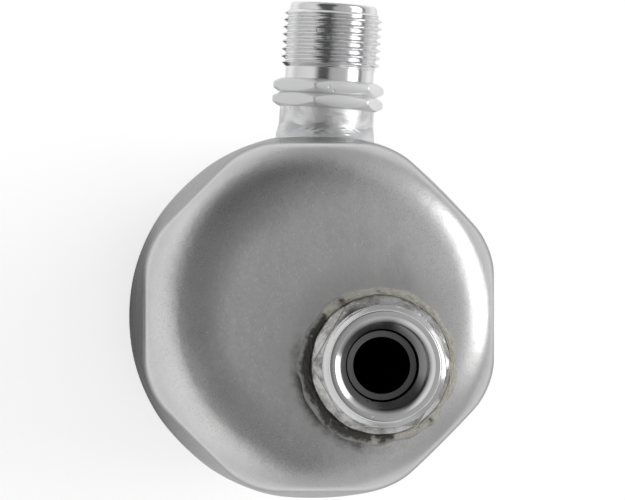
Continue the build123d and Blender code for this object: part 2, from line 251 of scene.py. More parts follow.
def shoulderCurve(inset):
    # tangent arcs from the flat face to the crest: between two knots the sine of the tilt grows evenly with
    # the radius, so each stretch is an arc; inset moves the curve inwards
    radii, heights, sines, drop = [], [], [], 0.0
    knots = can["shoulderKnots"]
    for (r0, s0), (r1, s1) in zip(knots, knots[1:]):
        bend = (r1 - r0) / (s1 - s0)
        first, last = math.asin(s0), math.asin(s1)
        tilts = np.linspace(first, last, max(6, int(bend * (last - first) / can["arcStep"])))
        tilts = tilts if s1 == 1.0 else tilts[:-1]
        radii.append(r0 + bend * (np.sin(tilts) - s0))
        heights.append(-drop - bend * (math.cos(first) - np.cos(tilts)))
        sines.append(np.sin(tilts))
        drop += bend * (math.cos(first) - math.cos(last))
    radius, height, sine = map(np.concatenate, (radii, heights, sines))
    return radius - inset * sine, can["height"] + height - inset * np.sqrt(1 - sine**2)


def octagonRadius(angle, z, inset):
    # distance to the pressed outline at one height: a flat's line, or the arc of the rounded corner
    slope = (can["bodyRadius"] - can["flatApothem"]) / (can["crestZ"] - can["runOutZ"])
    apothem = can["flatApothem"] - inset + slope * (can["crestZ"] - z)
    corner = can["flatCorner"] - inset + slope * (can["crestZ"] - z)
    half = math.pi / can["flatCount"]
    off = np.abs((angle + half) % (2 * half) - half)
    reach = (apothem - corner) / math.cos(half)
    beyond = reach * np.sin(half - off)
    arc = reach * np.cos(half - off) + np.sqrt(np.maximum(corner**2 - beyond**2, 0))
    return np.where(apothem * np.tan(off) <= (apothem - corner) * math.tan(half), apothem / np.cos(off), arc)


def pressedIn(radius, angle, z, inset):
    # a radius cut by the pressed outline, rounded where they meet
    pressed, edge = octagonRadius(angle, z, inset), can["pressedEdge"]
    return np.where(pressed < radius + edge, softMin(radius, pressed, edge), radius)


def sideRadius(angle, z, inset=0.0):
    # the drawn side, widening evenly from crest to run-out, cut by the pressed flats
    grow = np.clip((can["crestZ"] - z) / (can["crestZ"] - can["runOutZ"]), 0, 1)
    drawn = can["crestRadius"] + (can["bodyRadius"] - can["crestRadius"]) * grow - inset
    return pressedIn(drawn, angle, z, inset)


def faceHeight(radius, inset=0.0):
    # height of the closed end at a distance from the axis
    r, z = shoulderCurve(inset)
    return np.interp(radius, [0, *r], [can["height"] - inset, *z])


outlet = {
    "centre": (11.05, -8.8),
    "threadRadius": 11.11,
    "rootRadius": 10.12,
    "pilotRadius": 10.15,
    "rounding": (0.3, 0.3),
    "hexWidth": 22.3,
    "hexTurn": 0.0,
    "hexChamfer": 28.5,
    "neckRadius": 10.7,
    "neckHeight": 4.0,
    "spigotRadius": 9.3,
    "holeRadius": 9.4,
    "standIn": 4.7,
    "mouthRadius": 9.0,
    "leadIn": 0.65,
    "socketRadius": 8.05,
    "socketDepth": 13.0,
    "seatSlope": 26.0,
    "tubeRadius": 6.35,
    "tubeGap": 0.35,
    "tubeFit": 0.1,
    "tubeDepth": 18.0,
    "sink": 0.02,
}
inlet = {
    "height": 136.5,
    "turn": 3.9,
    "threadRadius": 9.525,
    "rootRadius": 8.53,
    "pilotRadius": 8.42,
    "rounding": (0.66, 0.95),
    "hexWidth": 19.3,
    "hexTurn": -15.5,
    "hexChamfer": 25.0,
    "neckRadius": 9.1,
    "neckHeight": 4.6,
    "spigotRadius": 7.8,
    "holeRadius": 7.9,
    "insideReach": 30.8,
    "mouthRadius": 7.3,
    "leadIn": 1.5,
    "socketRadius": 6.45,
    "socketDepth": 12.0,
    "boreRadius": 5.3,
    "sink": 0.03,
}
fitting = {
    "threadLength": 11.0,
    "threadChamfer": 0.8,
    "pitch": 25.4 / 18,
    "threadDepth": 0.88,
    # shares of half a pitch that the crest and the flank take, and how soft their corners are
    "crestShare": 0.125,
    "flankShare": 0.705,
    "softness": 0.05,
    "pilotLength": 1.5,
    "reliefLength": 2.3,
    "hexThickness": 2.7,
    "hexGroove": 0.45,
    "hexCorner": 0.991,
    "hexEdge": 0.09,
    "mouthEdge": 0.12,
    "edgeBreak": 0.3,
    "columns": 288,
    "rowsPerTurn": 18,
}
# from the foot of the hexagons to the tip
noseLength = 2 * fitting["hexThickness"] + sum(fitting[part + "Length"] for part in ("relief", "thread", "pilot"))
inletAxis = np.array([math.sin(math.radians(inlet["turn"])), math.cos(math.radians(inlet["turn"])), 0.0])
inletAcross = np.array([inletAxis[1], -inletAxis[0], 0.0])
inletAzimuth = math.radians(90 - inlet["turn"])


def makeBodyShell(finish):
    # rings of columns that start at the outlet's hole, cross the face, go down the outside, round the lower
    # edge, up the inside and back to the hole; a round window for the side port is let into both walls
    columns, cells = can["columns"], can["windowCells"]
    step = 2 * np.pi / columns
    angle = inletAzimuth + step * np.arange(columns)
    cell = can["bodyRadius"] * step
    cx, cy = outlet["centre"]
    windowRows = inlet["height"] + cell * np.arange(2 * cells, -2 * cells - 1, -1)

    def faceRows(count, edge, inset):
        # circles that slide from the hole's centre to the can's centre while they widen
        share = np.linspace(0, 1, count)[:, None] ** 0.8
        wide = outlet["holeRadius"] + (edge - outlet["holeRadius"]) * share
        x = cx * (1 - share) + wide * np.cos(angle)
        y = cy * (1 - share) + wide * np.sin(angle)
        return np.stack([x, y, faceHeight(np.hypot(x, y), inset)], -1)

    def shoulderRows(inset, edge):
        r, z = shoulderCurve(inset)
        keep = r > edge + 0.05
        r, z = r[keep][:, None], z[keep][:, None]
        return placed(pressedIn(r, angle[None, :], z, inset), angle, z)

    def sideRows(levels, inset):
        # rings down the side; those of the window's block are bent from a square grid to the round hole
        z = np.asarray(levels)[:, None] + 0 * angle[None, :]
        across = ((np.arange(columns) + columns // 2) % columns - columns // 2) * cell
        p, q = across[None, :] + 0 * z, z - inlet["height"]
        m = np.maximum(np.maximum(np.abs(p), np.abs(q)), 1e-6)
        hole, inner, outer = inlet["holeRadius"], cells * cell, 2 * cells * cell
        out = np.clip((m - inner) / (outer - inner), 0, 1)
        w = 1 - out * out * (3 - 2 * out)
        rim = hole + (m - inner) * (outer - hole) / (outer - inner)
        norm = np.hypot(p, q) + 1e-9
        warped = (m < outer - 1e-6) & (m > inner - 1e-6)
        p2 = np.where(warped, rim * ((1 - w) * p / m + w * p / norm), p)
        q2 = np.where(warped, rim * ((1 - w) * q / m + w * q / norm), q)
        turned = p2 / can["bodyRadius"]
        z2 = q2 + inlet["height"]
        for _ in range(2):
            wide = sideRadius(inletAzimuth + turned, z2, inset)
            bent = np.arcsin(np.clip(p2 / wide, -1, 1))
            turned = np.where(warped, w * bent + (1 - w) * p2 / can["bodyRadius"], turned)
        wide = sideRadius(inletAzimuth + turned, z2, inset)
        return placed(wide, inletAzimuth + turned, z2)

    above = np.arange(shoulderCurve(0.0)[1][-1] - 0.8, windowRows[0] + 0.5, -1.1)
    below = np.concatenate([np.arange(windowRows[-1] - 1.5, 112, -1.5), np.linspace(110, can["seamTop"], 18)])
    outside = np.concatenate([
        faceRows(*can["face"], 0.0),
        shoulderRows(0.0, can["face"][1]),
        sideRows(above, 0.0),
        sideRows(windowRows, 0.0),
        sideRows(below, 0.0),
    ])
    firstWindow = len(outside) - len(below) - len(windowRows)
    inset = can["wall"]
    seam = np.array([can["seamRoot"], can["bodyRadius"] - inset])[:, None] + 0 * angle[None, :]
    lower = placed(seam, angle, can["seamZ"])
    innerBelow = np.linspace(can["seamZ"] + 4, windowRows[-1] - 2, 14)
    innerAbove = np.linspace(windowRows[0] + 2, shoulderCurve(inset)[1][-1] - 0.8, 10)
    inside = np.concatenate([
        sideRows(innerBelow, inset),
        sideRows(windowRows[::-1], inset),
        sideRows(innerAbove, inset),
        shoulderRows(inset, can["innerFace"][1])[::-2],
        faceRows(*can["innerFace"], inset)[::-1],
    ])
    points = np.concatenate([outside, lower, inside])
    faces = ringFaces(len(points), columns, True)

    # the window: cells inside the block go, and its two rims are joined through the wall
    row, column = np.divmod(faces[:, 0], columns)
    secondWindow = len(outside) + len(lower) + len(innerBelow)
    inBlock = np.zeros(len(faces), bool)
    near = ((column + cells) % columns) < 2 * cells
    for first in (firstWindow, secondWindow):
        inBlock |= near & (row >= first + cells) & (row < first + 3 * cells)
    faces = faces[~inBlock]
    span = np.arange(2 * cells)
    rimRow = np.concatenate([0 * span, span, 0 * span + 2 * cells, 2 * cells - span])
    rimColumn = np.concatenate([span, 0 * span + 2 * cells, 2 * cells - span, 0 * span]) - cells
    outerRim = (firstWindow + cells + rimRow) * columns + rimColumn % columns
    innerRim = (secondWindow + 3 * cells - rimRow) * columns + rimColumn % columns
    wall = np.stack([outerRim, np.roll(outerRim, -1), np.roll(innerRim, -1), innerRim], -1)
    faces = np.concatenate([faces, wall[:, ::-1]])
    # points that no face uses any more are left out
    used, faces = np.unique(faces, return_inverse=True)
    points, faces = points.reshape(-1, 3)[used], faces.reshape(-1, 4)
    turnOutwards(makePiece("bodyShell", points, faces, finish, "body_shell"))


def turnOutwards(piece):
    # makes the faces of a closed mesh agree, and counts edges that don't join two faces
    work = bmesh.new()
    work.from_mesh(piece.data)
    bmesh.ops.recalc_face_normals(work, faces=work.faces)
    loose = sum(1 for edge in work.edges if len(edge.link_faces) != 2)
    work.to_mesh(piece.data)
    work.free()
    piece.data.set_sharp_from_angle(angle=math.radians(38.0))
    print("open edges of", piece.name, loose)


def threadRadius(angle, height, crestRadius, rootRadius, start):
    # a right-handed 60 degree thread: the phase is height over pitch less the turn, the crest stays an eighth
    # of a pitch wide, and cones at both ends cut it down
    phase = (height / fitting["pitch"] - angle / (2 * np.pi)) % 1.0
    away = np.abs(phase - 0.5) * 2
    flank = (away - fitting["crestShare"]) / fitting["flankShare"]
    soft = fitting["softness"]
    lowered = 0.5 * (flank + np.sqrt(flank**2 + soft**2))
    lowered = 0.5 * (lowered + 1 - np.sqrt((lowered - 1) ** 2 + 4 * soft**2))
    radius = crestRadius - fitting["threadDepth"] * lowered
    end = start + fitting["threadLength"]
    rise = (crestRadius - rootRadius) / fitting["threadChamfer"]
    cone = rootRadius + rise * np.minimum(height - start, end - height)
    return np.maximum(np.minimum(radius, cone), rootRadius)


def fittingRows(size, neckRows, boreRows, hexBottom):
    # the half profile as rows of (radius, height) round the axis: neck, two hexagons, relief, thread, pilot, bore
    columns = fitting["columns"]
    turn = math.radians(size["hexTurn"])
    angle = turn + ringAngles(columns)[0]
    flat = np.zeros(columns)
    rows = [(flat + r, flat + h) for r, h in neckRows]

    half = size["hexWidth"] / 2
    root = half - fitting["hexGroove"]
    sector = (angle - turn) % (math.pi / 3) - math.pi / 6
    reach = np.minimum(half / np.cos(sector), half / math.cos(math.pi / 6) * fitting["hexCorner"])
    slant = math.tan(math.radians(size["hexChamfer"]))
    thick, edge = fitting["hexThickness"], fitting["hexEdge"]
    for k in range(2):
        low, high = hexBottom + k * thick, hexBottom + (k + 1) * thick
        drop = (reach - root) * slant
        rows += [
            (flat + root, flat + low),
            (reach - edge, low + drop - edge * slant),
            (reach, low + drop + edge),
            (reach, high - drop - edge),
            (reach - edge, high - drop + edge * slant),
        ]
    rows.append((flat + root, flat + hexBottom + 2 * thick))
    nose = hexBottom + 2 * thick
    start = nose + fitting["reliefLength"]
    end = start + fitting["threadLength"]
    tip = end + fitting["pilotLength"]
    rows += [(flat + size["rootRadius"], flat + nose), (flat + size["rootRadius"], flat + start)]
    count = int(fitting["threadLength"] / fitting["pitch"] * fitting["rowsPerTurn"])
    for height in np.linspace(start, end, count)[1:-1]:
        thread = threadRadius(angle, flat + height, size["threadRadius"], size["rootRadius"], start)
        rows.append((thread, flat + height))
    # the pilot's rim is a quarter of an ellipse
    wide, long = size["rounding"]
    rows.append((flat + size["pilotRadius"], flat + end))
    for bend in np.linspace(0, np.pi / 2, 7):
        narrowed = size["pilotRadius"] - wide * (1 - math.cos(bend))
        rows.append((flat + narrowed, flat + tip - long * (1 - math.sin(bend))))
    mouth, edge = size["mouthRadius"], fitting["mouthEdge"]
    rows += [(flat + mouth + edge, flat + tip), (flat + mouth, flat + tip - edge)]
    rows += [(flat + r, flat + h) for r, h in boreRows]
    return angle, np.array([r for r, _ in rows]), np.array([h for _, h in rows])


def turningPattern(angle, radius, height):
    # coordinates that run round the piece and along its profile, for the lathe's marks
    steps = [np.diff(values.mean(1), prepend=values[0].mean()) for values in (radius, height)]
    return placed(10 + 0 * radius, angle, np.cumsum(np.hypot(*steps))[:, None]) / 1000


def makeOutletFitting(finish):
    size, edge = outlet, fitting["edgeBreak"]
    tip = size["neckHeight"] + noseLength
    seat = tip - size["socketDepth"]
    shelf = tip - size["tubeDepth"] - size["tubeRadius"] / 2
    tubeWide, tubeClose = (size["tubeRadius"] + size[gap] for gap in ("tubeGap", "tubeFit"))
    step = seat - (size["socketRadius"] - tubeWide) * math.tan(math.radians(size["seatSlope"]))
    neckRows = [
        (size["spigotRadius"] - edge, -size["standIn"]),
        (size["spigotRadius"], -size["standIn"] + edge),
        (size["spigotRadius"], -size["sink"]),
        (size["neckRadius"], -size["sink"]),
    ]
    boreRows = [
        (size["socketRadius"], tip - size["leadIn"]),
        (size["socketRadius"], seat),
        (tubeWide, step),
        (tubeWide, shelf + size["tubeGap"]),
        (tubeClose, shelf),
        (tubeClose, -size["standIn"]),
    ]
    angle, radius, height = fittingRows(size, neckRows, boreRows, size["neckHeight"])
    points = placed(radius, angle, can["height"] + height, size["centre"])
    faces = ringFaces(*radius.shape, True)
    pattern = turningPattern(angle, radius, height)
    makePiece("outletFitting", points, faces, finish, "outlet_fitting", pattern=pattern)


def seatHeight(angle, radius):
    # how far out along the side port's axis the can's surface lies, at an angle and distance from that axis
    up, across = radius * np.cos(angle), radius * np.sin(angle)
    reach = np.sqrt(can["bodyRadius"] ** 2 - across**2)
    for _ in range(3):
        wide = sideRadius(inletAzimuth - np.arctan2(across, reach), inlet["height"] + up)
        reach = np.sqrt(wide**2 - across**2)
    return reach


def inletPoints(angle, radius, height):
    # places (angle, radius, height) about the side port's axis, where angle 0 points up the can
    up = (radius * np.cos(angle))[..., None] * np.array([0, 0, 1.0])
    across = (radius * np.sin(angle))[..., None] * inletAcross
    return np.array([0, 0, inlet["height"]]) + up + across + height[..., None] * inletAxis


def makeInletFitting(finish):
    size, edge = inlet, fitting["edgeBreak"]
    hexBottom = can["bodyRadius"] + size["neckHeight"]
    tip = hexBottom + noseLength
    seat = tip - size["socketDepth"]
    # the neck's foot, whose two rows are set to the can's side below
    neckRows = [
        (size["spigotRadius"] - edge, size["insideReach"]),
        (size["spigotRadius"], size["insideReach"] + edge),
        (size["spigotRadius"], 0.0),
        (size["neckRadius"], 0.0),
        (size["neckRadius"], hexBottom),
    ]
    boreRows = [
        (size["socketRadius"], tip - size["leadIn"]),
        (size["socketRadius"], seat),
        (size["boreRadius"], seat - (size["socketRadius"] - size["boreRadius"])),
        (size["boreRadius"], size["insideReach"]),
    ]
    angle, radius, height = fittingRows(size, neckRows, boreRows, hexBottom)
    for row in (2, 3):
        height[row] = seatHeight(angle, radius[row]) - size["sink"]
    faces = ringFaces(*radius.shape, True)
    pattern = turningPattern(angle, radius, height)
    points = inletPoints(angle, radius, height)
    makePiece("inletFitting", points, faces, finish, "inlet_fitting", pattern=pattern)


# Brazes and weld

outletBraze = {
    "edge": 2.12,
    "edgeHeight": 1.35,
    "edgeDrop": 0.22,
    "width": 4.5,
    "narrow": 3.5,
    "height": 3.1,
    "fluxHeight": 0.36,
    "raggedEdge": 0.07,
    "raggedToe": 0.42,
    "raggedTop": 0.05,
    "widestAt": 205.0,
    "lumps": 0.1,
    "fall": 1.4,
    "edgeAt": 0.45,
    "under": 0.03,
    "columns": 480,
}
inletBraze = {
    "width": 0.4,
    "upperWidth": 1.0,
    "height": 2.6,
    "hollow": 2.0,
    "belly": 0.16,
    "raggedTop": 0.75,
    "lumps": 0.06,
    "fall": 1.25,
    "over": 0.03,
    "under": 0.04,
    "columns": 360,
    "rows": 30,
}
weldBead = {
    "low": (35.0, 18.7),
    "crown": 0.2,
    "bow": 0.45,
    "ripples": 150,
    "rippleDepth": 0.1,
    "columns": 1200,
    "rows": 9,
}


def makeOutletBraze(finish):
    # an alloy ring round the neck, whose height falls with a power of the way to its edge and then drops in a
    # quarter circle, and a thin ring of flux from there to a ragged toe; both follow the face and shoulder
    size = outletBraze
    angle = ringAngles(size["columns"])
    middle = size["edgeAt"]
    # rows lie closest where the alloy drops to the flux
    spans = [(0, middle - 0.06, 12), (middle - 0.05, middle + 0.05, 11), (middle + 0.07, 1, 18)]
    along = np.concatenate([np.linspace(*span) for span in spans])[:, None]
    edge = size["edge"] + size["raggedEdge"] * waves(angle, 0, 12, 19, 4)
    towards = 0.5 + 0.5 * np.cos(angle - math.radians(size["widestAt"]))
    toe = size["narrow"] + (size["width"] - size["narrow"]) * towards
    toe = toe + size["raggedToe"] * waves(angle, 0, 14, 17, 3) - 0.1
    out = np.where(along < middle, edge * along / middle, edge + (toe - edge) * (along - middle) / (1 - middle))
    lumps = waves(angle, along * 9, 26, 46, 5) * np.sin(np.pi * along) ** 0.6
    top = size["height"] * (1 + size["raggedTop"] * waves(angle, 0, 8, 9, 8))
    inner = np.clip(out / edge, 0, 1)
    alloy = top - (top - size["edgeHeight"]) * inner ** size["fall"] + 0.5 * size["lumps"] * lumps
    flux = size["fluxHeight"] * (1 - along**4) + size["lumps"] * lumps
    drop = np.clip((edge + 0.05 - out) / size["edgeDrop"], 0, 1)
    lift = flux + (alloy - flux) * np.sqrt(np.clip(1 - (1 - drop) ** 2, 0, 1))
    lift = np.maximum(lift, 0.0) * (1 - along**12) + 0.02
    radius = outlet["neckRadius"] + 0.02 + out
    x = outlet["centre"][0] + radius * np.cos(angle)
    y = outlet["centre"][1] + radius * np.sin(angle)
    ground = faceHeight(np.hypot(x, y))
    outer = np.stack([x, y, ground + np.minimum(lift, outlet["neckHeight"] - 0.05)], -1)
    under = np.stack([x, y, ground - size["under"]], -1)[::-8]
    points = np.concatenate([outer, under])
    pattern = np.concatenate([along + 0 * angle, (along + 0 * angle)[::-8]])[..., None] * np.array([1.0, 0, 0])
    faces = ringFaces(len(points), size["columns"], True)
    makePiece("outletBraze", points, faces, finish, "outlet_braze", 60.0, pattern)


def makeInletBraze(finish):
    # thin alloy that has run up the neck to a wavy edge and out to a short toe on the can
    size = inletBraze
    angle = ringAngles(size["columns"])
    way = np.linspace(0, 1, size["rows"])[:, None]
    wide = size["width"] + size["upperWidth"] * np.clip(np.cos(angle), 0, 1) ** 2
    radius = inlet["neckRadius"] + size["over"] + wide * way ** size["hollow"]
    radius = radius + size["belly"] * np.sin(np.pi * way) * (1 + 0.5 * waves(angle, way * 4, 12, 15, 21))
    top = size["height"] + size["raggedTop"] * waves(angle, 0, 7, 9, 22)
    lift = top * (1 - way) ** size["fall"]
    lump = size["lumps"] * waves(angle, way * 6, 22, 30, 23) * np.sin(np.pi * way)
    ground = seatHeight(angle, radius)
    face = inletPoints(angle, radius + lump, ground + lift + 0.02)
    under = inletPoints(angle, radius, ground - size["under"])[::-7]
    points = np.concatenate([face, under])
    faces = ringFaces(len(points), size["columns"], True)
    makePiece("inletBraze", points, faces, finish, "inlet_braze", 60.0)


def makeWeldBead(finish):
    # the seam's groove filled by overlapping drops: the face is pulled in between the drops, whose rims are
    # bowed along the seam
    size = weldBead
    angle = ringAngles(size["columns"])
    across = np.linspace(0, 1, size["rows"])[:, None]
    low, high = size["low"], (can["bodyRadius"], can["seamTop"])
    crown = size["crown"] * 4 * across * (1 - across)
    bow = size["bow"] * (2 * across - 1) ** 2
    drop = np.abs(np.sin(size["ripples"] / 2 * angle + bow * np.pi))
    ripple = size["rippleDepth"] * (1 - drop) * 4 * across * (1 - across)
    radius = low[0] + (high[0] - low[0]) * across + crown - ripple
    radius = np.minimum(radius, can["bodyRadius"] - 0.01)
    height = low[1] + (high[1] - low[1]) * across + 0 * angle
    points = np.concatenate([placed(radius, angle, height), placed(can["seamRoot"], angle, can["seamZ"])])
    faces = ringFaces(len(points), size["columns"], True)
    makePiece("weldBead", points, faces, finish, "bottom_weld", 50.0)


# Desiccant bags

bag = {
    "top": 104.0,
    "height": 52.0,
    "radius": 30.0,
    "flat": 6.65,
    "middle": 17.5,
    "turn": -38.5,
    # how far the felt stays inside the solid: at the flat, the back, the ends and all round
    "insets": (0.2, 0.5, 0.4, 0.25),
    "cornerBlend": 7.0,
    "endPower": 5,
    "ties": (93.0, 63.0),
    "tieWidth": 3.2,
    "tieDepth": 0.018,
    "lumps": 0.35,
    # height of the sewn ridges, their angle from the flat's middle and their width in radians
    "ridge": (0.3, 1.0, 0.05),
    "leastRadius": 0.05,
    "capRise": 0.15,
    "columns": 160,
    "rows": 90,
}


def makeBag(name, side, node, finish, seed):
    # a filled D section round its own middle: the nearer of the flat line and the back's circle, rounded where
    # they meet, closed at both ends as a superellipse, with straps pressed in and a sewn ridge down each corner
    size = bag
    angle = ringAngles(size["columns"])
    level = np.linspace(-1, 1, size["rows"])[1:-1, None]
    middle, half = size["middle"], size["height"] / 2
    flatInset, backInset, endInset, inset = size["insets"]
    ridge, ridgeAngle, ridgeWidth = size["ridge"]
    toFlat = (middle - size["flat"] - flatInset) / np.maximum(-np.sin(angle), 1e-3)
    back = (size["radius"] - backInset) ** 2 - (middle * np.cos(angle)) ** 2
    toBack = -middle * np.sin(angle) + np.sqrt(back)
    reach = softMin(toBack, np.minimum(toFlat, 2 * size["radius"]), size["cornerBlend"])
    ends = (1 - np.abs(level) ** size["endPower"]) ** (1 / size["endPower"])
    z = size["top"] - half + (half - endInset) * level
    pressed = sum(np.exp(-(((z - tie) / size["tieWidth"]) ** 2)) for tie in size["ties"])
    corner = np.exp(-(((np.abs(angle - np.pi * 1.5) - ridgeAngle) / ridgeWidth) ** 2))
    lumps = size["lumps"] * (waves(angle, level * 6, 20, 12, seed) - 1)
    wide = reach * ends * (1 - size["tieDepth"] * pressed) + lumps * ends - inset + ridge * corner * ends
    wide = np.maximum(wide, size["leastRadius"])
    x = wide * np.cos(angle)
    y = side * (middle + wide * np.sin(angle))
    turn = math.radians(size["turn"])
    turnedX, turnedY = x * math.cos(turn) - y * math.sin(turn), x * math.sin(turn) + y * math.cos(turn)
    rings = np.stack([turnedX, turnedY, z + 0 * wide], -1)
    points = rings.reshape(-1, 3)
    faces = ringFaces(len(rings), size["columns"], False).tolist()
    # a fan of triangles closes each end
    for ring, shift in ((0, -size["capRise"]), (len(rings) - 1, size["capRise"])):
        points = np.concatenate([points, [rings[ring].mean(0) + np.array([0, 0, shift])]])
        first = ring * size["columns"] + np.arange(size["columns"])
        pair = (np.roll(first, -1), first) if ring == 0 else (first, np.roll(first, -1))
        faces += np.stack([*pair, np.full_like(first, len(points) - 1)], -1).tolist()
    mesh = bpy.data.meshes.new(name)
    mesh.from_pydata((points / 1000).tolist(), [], faces)
    mesh.shade_smooth()
    piece = addPiece(name, mesh, finish, node)
    turnOutwards(piece)
    print("made", name)


# Finishes

# scratches on the face: both ends and the width, in millimetres
scratches = [
    (-15.2, 5.2, -12.4, -3.0, 0.05),
    (-2.0, -26.0, 0.8, -28.4, 0.05),
    (-21.0, -2.0, -19.0, -9.0, 0.04),
    (3.0, 14.0, 9.0, 16.5, 0.04),
]


def fromOutlet(x, y):
    # offsets from the outlet's axis, in metres
    return x - outlet["centre"][0] / 1000, y - outlet["centre"][1] / 1000


def satinShell():
    # drawn aluminium: fine grain, drawing streaks down the side, faint scratches, and soot round the outlet
    paint, place = newFinish("satinShell")
    x, y, z = paint.axes(place)
    dx, dy = fromOutlet(x, y)
    away = paint.distance(dx, dy)
    clouds = paint.noise(place, 60, 4, 0.55)
    fine = paint.noise(place, 4200, 2, 0.7)
    coarse = paint.noise(place, 620, 3, 0.6)
    patches = paint.noise(place, 160, 5, 0.6)
    streaks = paint.noise(paint.stretched(place, (520, 520, 9)), 1.0, 4, 0.6)
    # soot lies mostly to the left of the fitting and below it
    lean = (dx * -0.8 + dy * -0.55) / 0.015
    amount = paint.ease(lean + (patches - 0.5) * 2.2, 0.1, 1.1)
    near = paint.ease(away + (coarse - 0.5) * 0.002, 0.0146, 0.0172, 1.0, 0.0)
    soot = near * amount * paint.ease(z, 0.1825, 0.187)
    haze = paint.ease(away + (clouds - 0.5) * 0.006, 0.0145, 0.023, 0.14, 0.0) * paint.ease(z, 0.178, 0.186)
    side = paint.ease(z, 0.176, 0.182, 1.0, 0.0)
    dark = soot * 0.86 + haze
    base = paint.blend(paint.ease(clouds, 0.3, 0.7), 0.70, (0.77, 0.77, 0.768))
    base = paint.blend(paint.ease(streaks, 0.5, 0.75, 0.0, 0.10), base, 0.5)
    base = paint.blend(side * paint.ease(patches, 0.45, 0.75, 0.0, 0.1), base, 0.42)
    speck = paint.ease(paint.cells(place, 2400), 0.1, 0.34, 1.0, 0.0) * paint.ease(coarse, 0.4, 0.62)
    base = paint.blend(speck * 0.3, base, 1.0)
    # dark pits where the face runs into the shoulder
    rim = paint.distance(x, y)
    band = paint.ease(rim, 0.018, 0.025, 0.2, 1.0) * paint.ease(rim, 0.0285, 0.0315, 1.0, 0.15)
    pits = paint.ease(paint.cells(paint.stretched(place, (1, 1, 1), (0.3, 0.1, 0)), 2500), 0.15, 0.45, 1.0, 0.0)
    pits = pits * paint.ease(paint.noise(place, 900, 2, 0.6), 0.3, 0.55) * band
    base = paint.blend(pits * 0.3, base, 0.22)
    base = paint.blend(dark, base, (0.04, 0.038, 0.032))
    roughness = 0.29 + (clouds - 0.5) * 0.06 + dark * 0.3 - speck * 0.05 - side * 0.05
    scratch = None
    for x0, y0, x1, y1, width in scratches:
        length = math.hypot(x1 - x0, y1 - y0)
        ux, uy = (x1 - x0) / length, (y1 - y0) / length
        along = (x - x0 / 1000) * ux + (y - y0 / 1000) * uy
        off = abs((x - x0 / 1000) * -uy + (y - y0 / 1000) * ux)
        mask = paint.ease(off, 0.0, width / 1000, 1.0, 0.0) * paint.ease(along, 0.0, 0.001)
        mask = mask * paint.ease(along, (length - 1) / 1000, length / 1000, 1.0, 0.0)
        scratch = mask if scratch is None else scratch + mask
    scratch = scratch * paint.ease(z, 0.17, 0.18)
    grain = paint.bump(fine, 0.35, 0.00006)
    unevenness = (clouds - 0.5 + (streaks - 0.5) * 0.25) * (1.0 - side * 0.6)
    swell = paint.bump(unevenness, 0.35, 0.0004, grain)
    cut = paint.bump(scratch * -1.0, 0.18, 0.00003, swell)
    metallic, tint = 1.0 - soot * 0.7, (0.42, 0.42, 0.42, 1)
    return paint.surface(Base_Color=base, Metallic=metallic, Roughness=roughness, Normal=cut, Specular_Tint=tint)


def machinedBright(name, tone, roughness, dirt=None, matt=None):
    # turned aluminium: rings left by the tool, small knocks and a little grime; dirt is the range of z where
    # the outlet gets dirtier, and matt is where the side port's cloudy neck and its matt hexagons end
    paint, place = newFinish(name)
    turning = paint.pattern()
    rings = paint.noise(paint.stretched(turning, (6, 6, 5200)), 1.0, 2, 0.5)
    broad = paint.noise(paint.stretched(turning, (30, 30, 900)), 1.0, 2, 0.5)
    clouds = paint.noise(place, 190, 4, 0.6)
    knock = paint.ease(paint.cells(place, 650), 0.10, 0.2, 1.0, 0.0) * paint.ease(clouds, 0.52, 0.6)
    grime = paint.ease(clouds, 0.62, 0.78) * 0.35
    if dirt is not None:
        x, y, z = paint.axes(place)
        away = paint.distance(*fromOutlet(x, y))
        outside = paint.ease(away, 0.0095, 0.01)
        smudges = paint.ease(paint.noise(place, 420, 4, 0.65), 0.42, 0.62)
        film = outside * paint.ease(z, *dirt, 1.0, 0.0) * (0.35 + smudges * 0.5)
        grime = paint.calc("MAXIMUM", grime, film)
        # painted shade: the socket's inside is darker
        tone = paint.blend(paint.ease(away, 0.008, 0.0088, 0.9, 0.0), tone, 0.22)
    base = paint.blend(grime, tone, (0.2, 0.19, 0.17))
    rough = roughness + (broad - 0.5) * 0.12 + grime * 0.25
    metallic = 1.0
    marks = paint.bump(rings, 0.25, 0.00001)
    if dirt is not None:
        dents = paint.noise(place, 330, 3, 0.6, 0.5)
        marks = paint.bump(dents * outside * paint.ease(z, 0.2012, 0.2018, 1.0, 0.0), 0.22, 0.0006, marks)
    if matt is not None:
        x, y, _ = paint.axes(place)
        out = x * float(inletAxis[0]) + y * float(inletAxis[1])
        hexes = paint.ease(out, matt[1], matt[1] + 0.0001, 1.0, 0.0)
        neck = paint.ease(out, matt[0] - 0.0002, matt[0], 1.0, 0.0)
        cloudy = paint.noise(place, 210, 3, 0.6, 0.8)
        base = paint.blend(hexes * 0.8, base, (0.9, 0.9, 0.905))
        base = paint.blend(neck * paint.ease(cloudy, 0.42, 0.66) * 0.6, base, (0.45, 0.45, 0.455))
        rough = rough + hexes * 0.16 + neck * (0.06 + cloudy * 0.1)
        metallic = 1.0 - hexes * 0.45 + neck * 0.25
        marks = paint.bump(cloudy * neck, 0.25, 0.0008, marks)
    hit = paint.bump(knock * -1.0, 0.6, 0.00012, marks)
    return paint.surface(Base_Color=base, Metallic=metallic, Roughness=rough, Normal=hit)


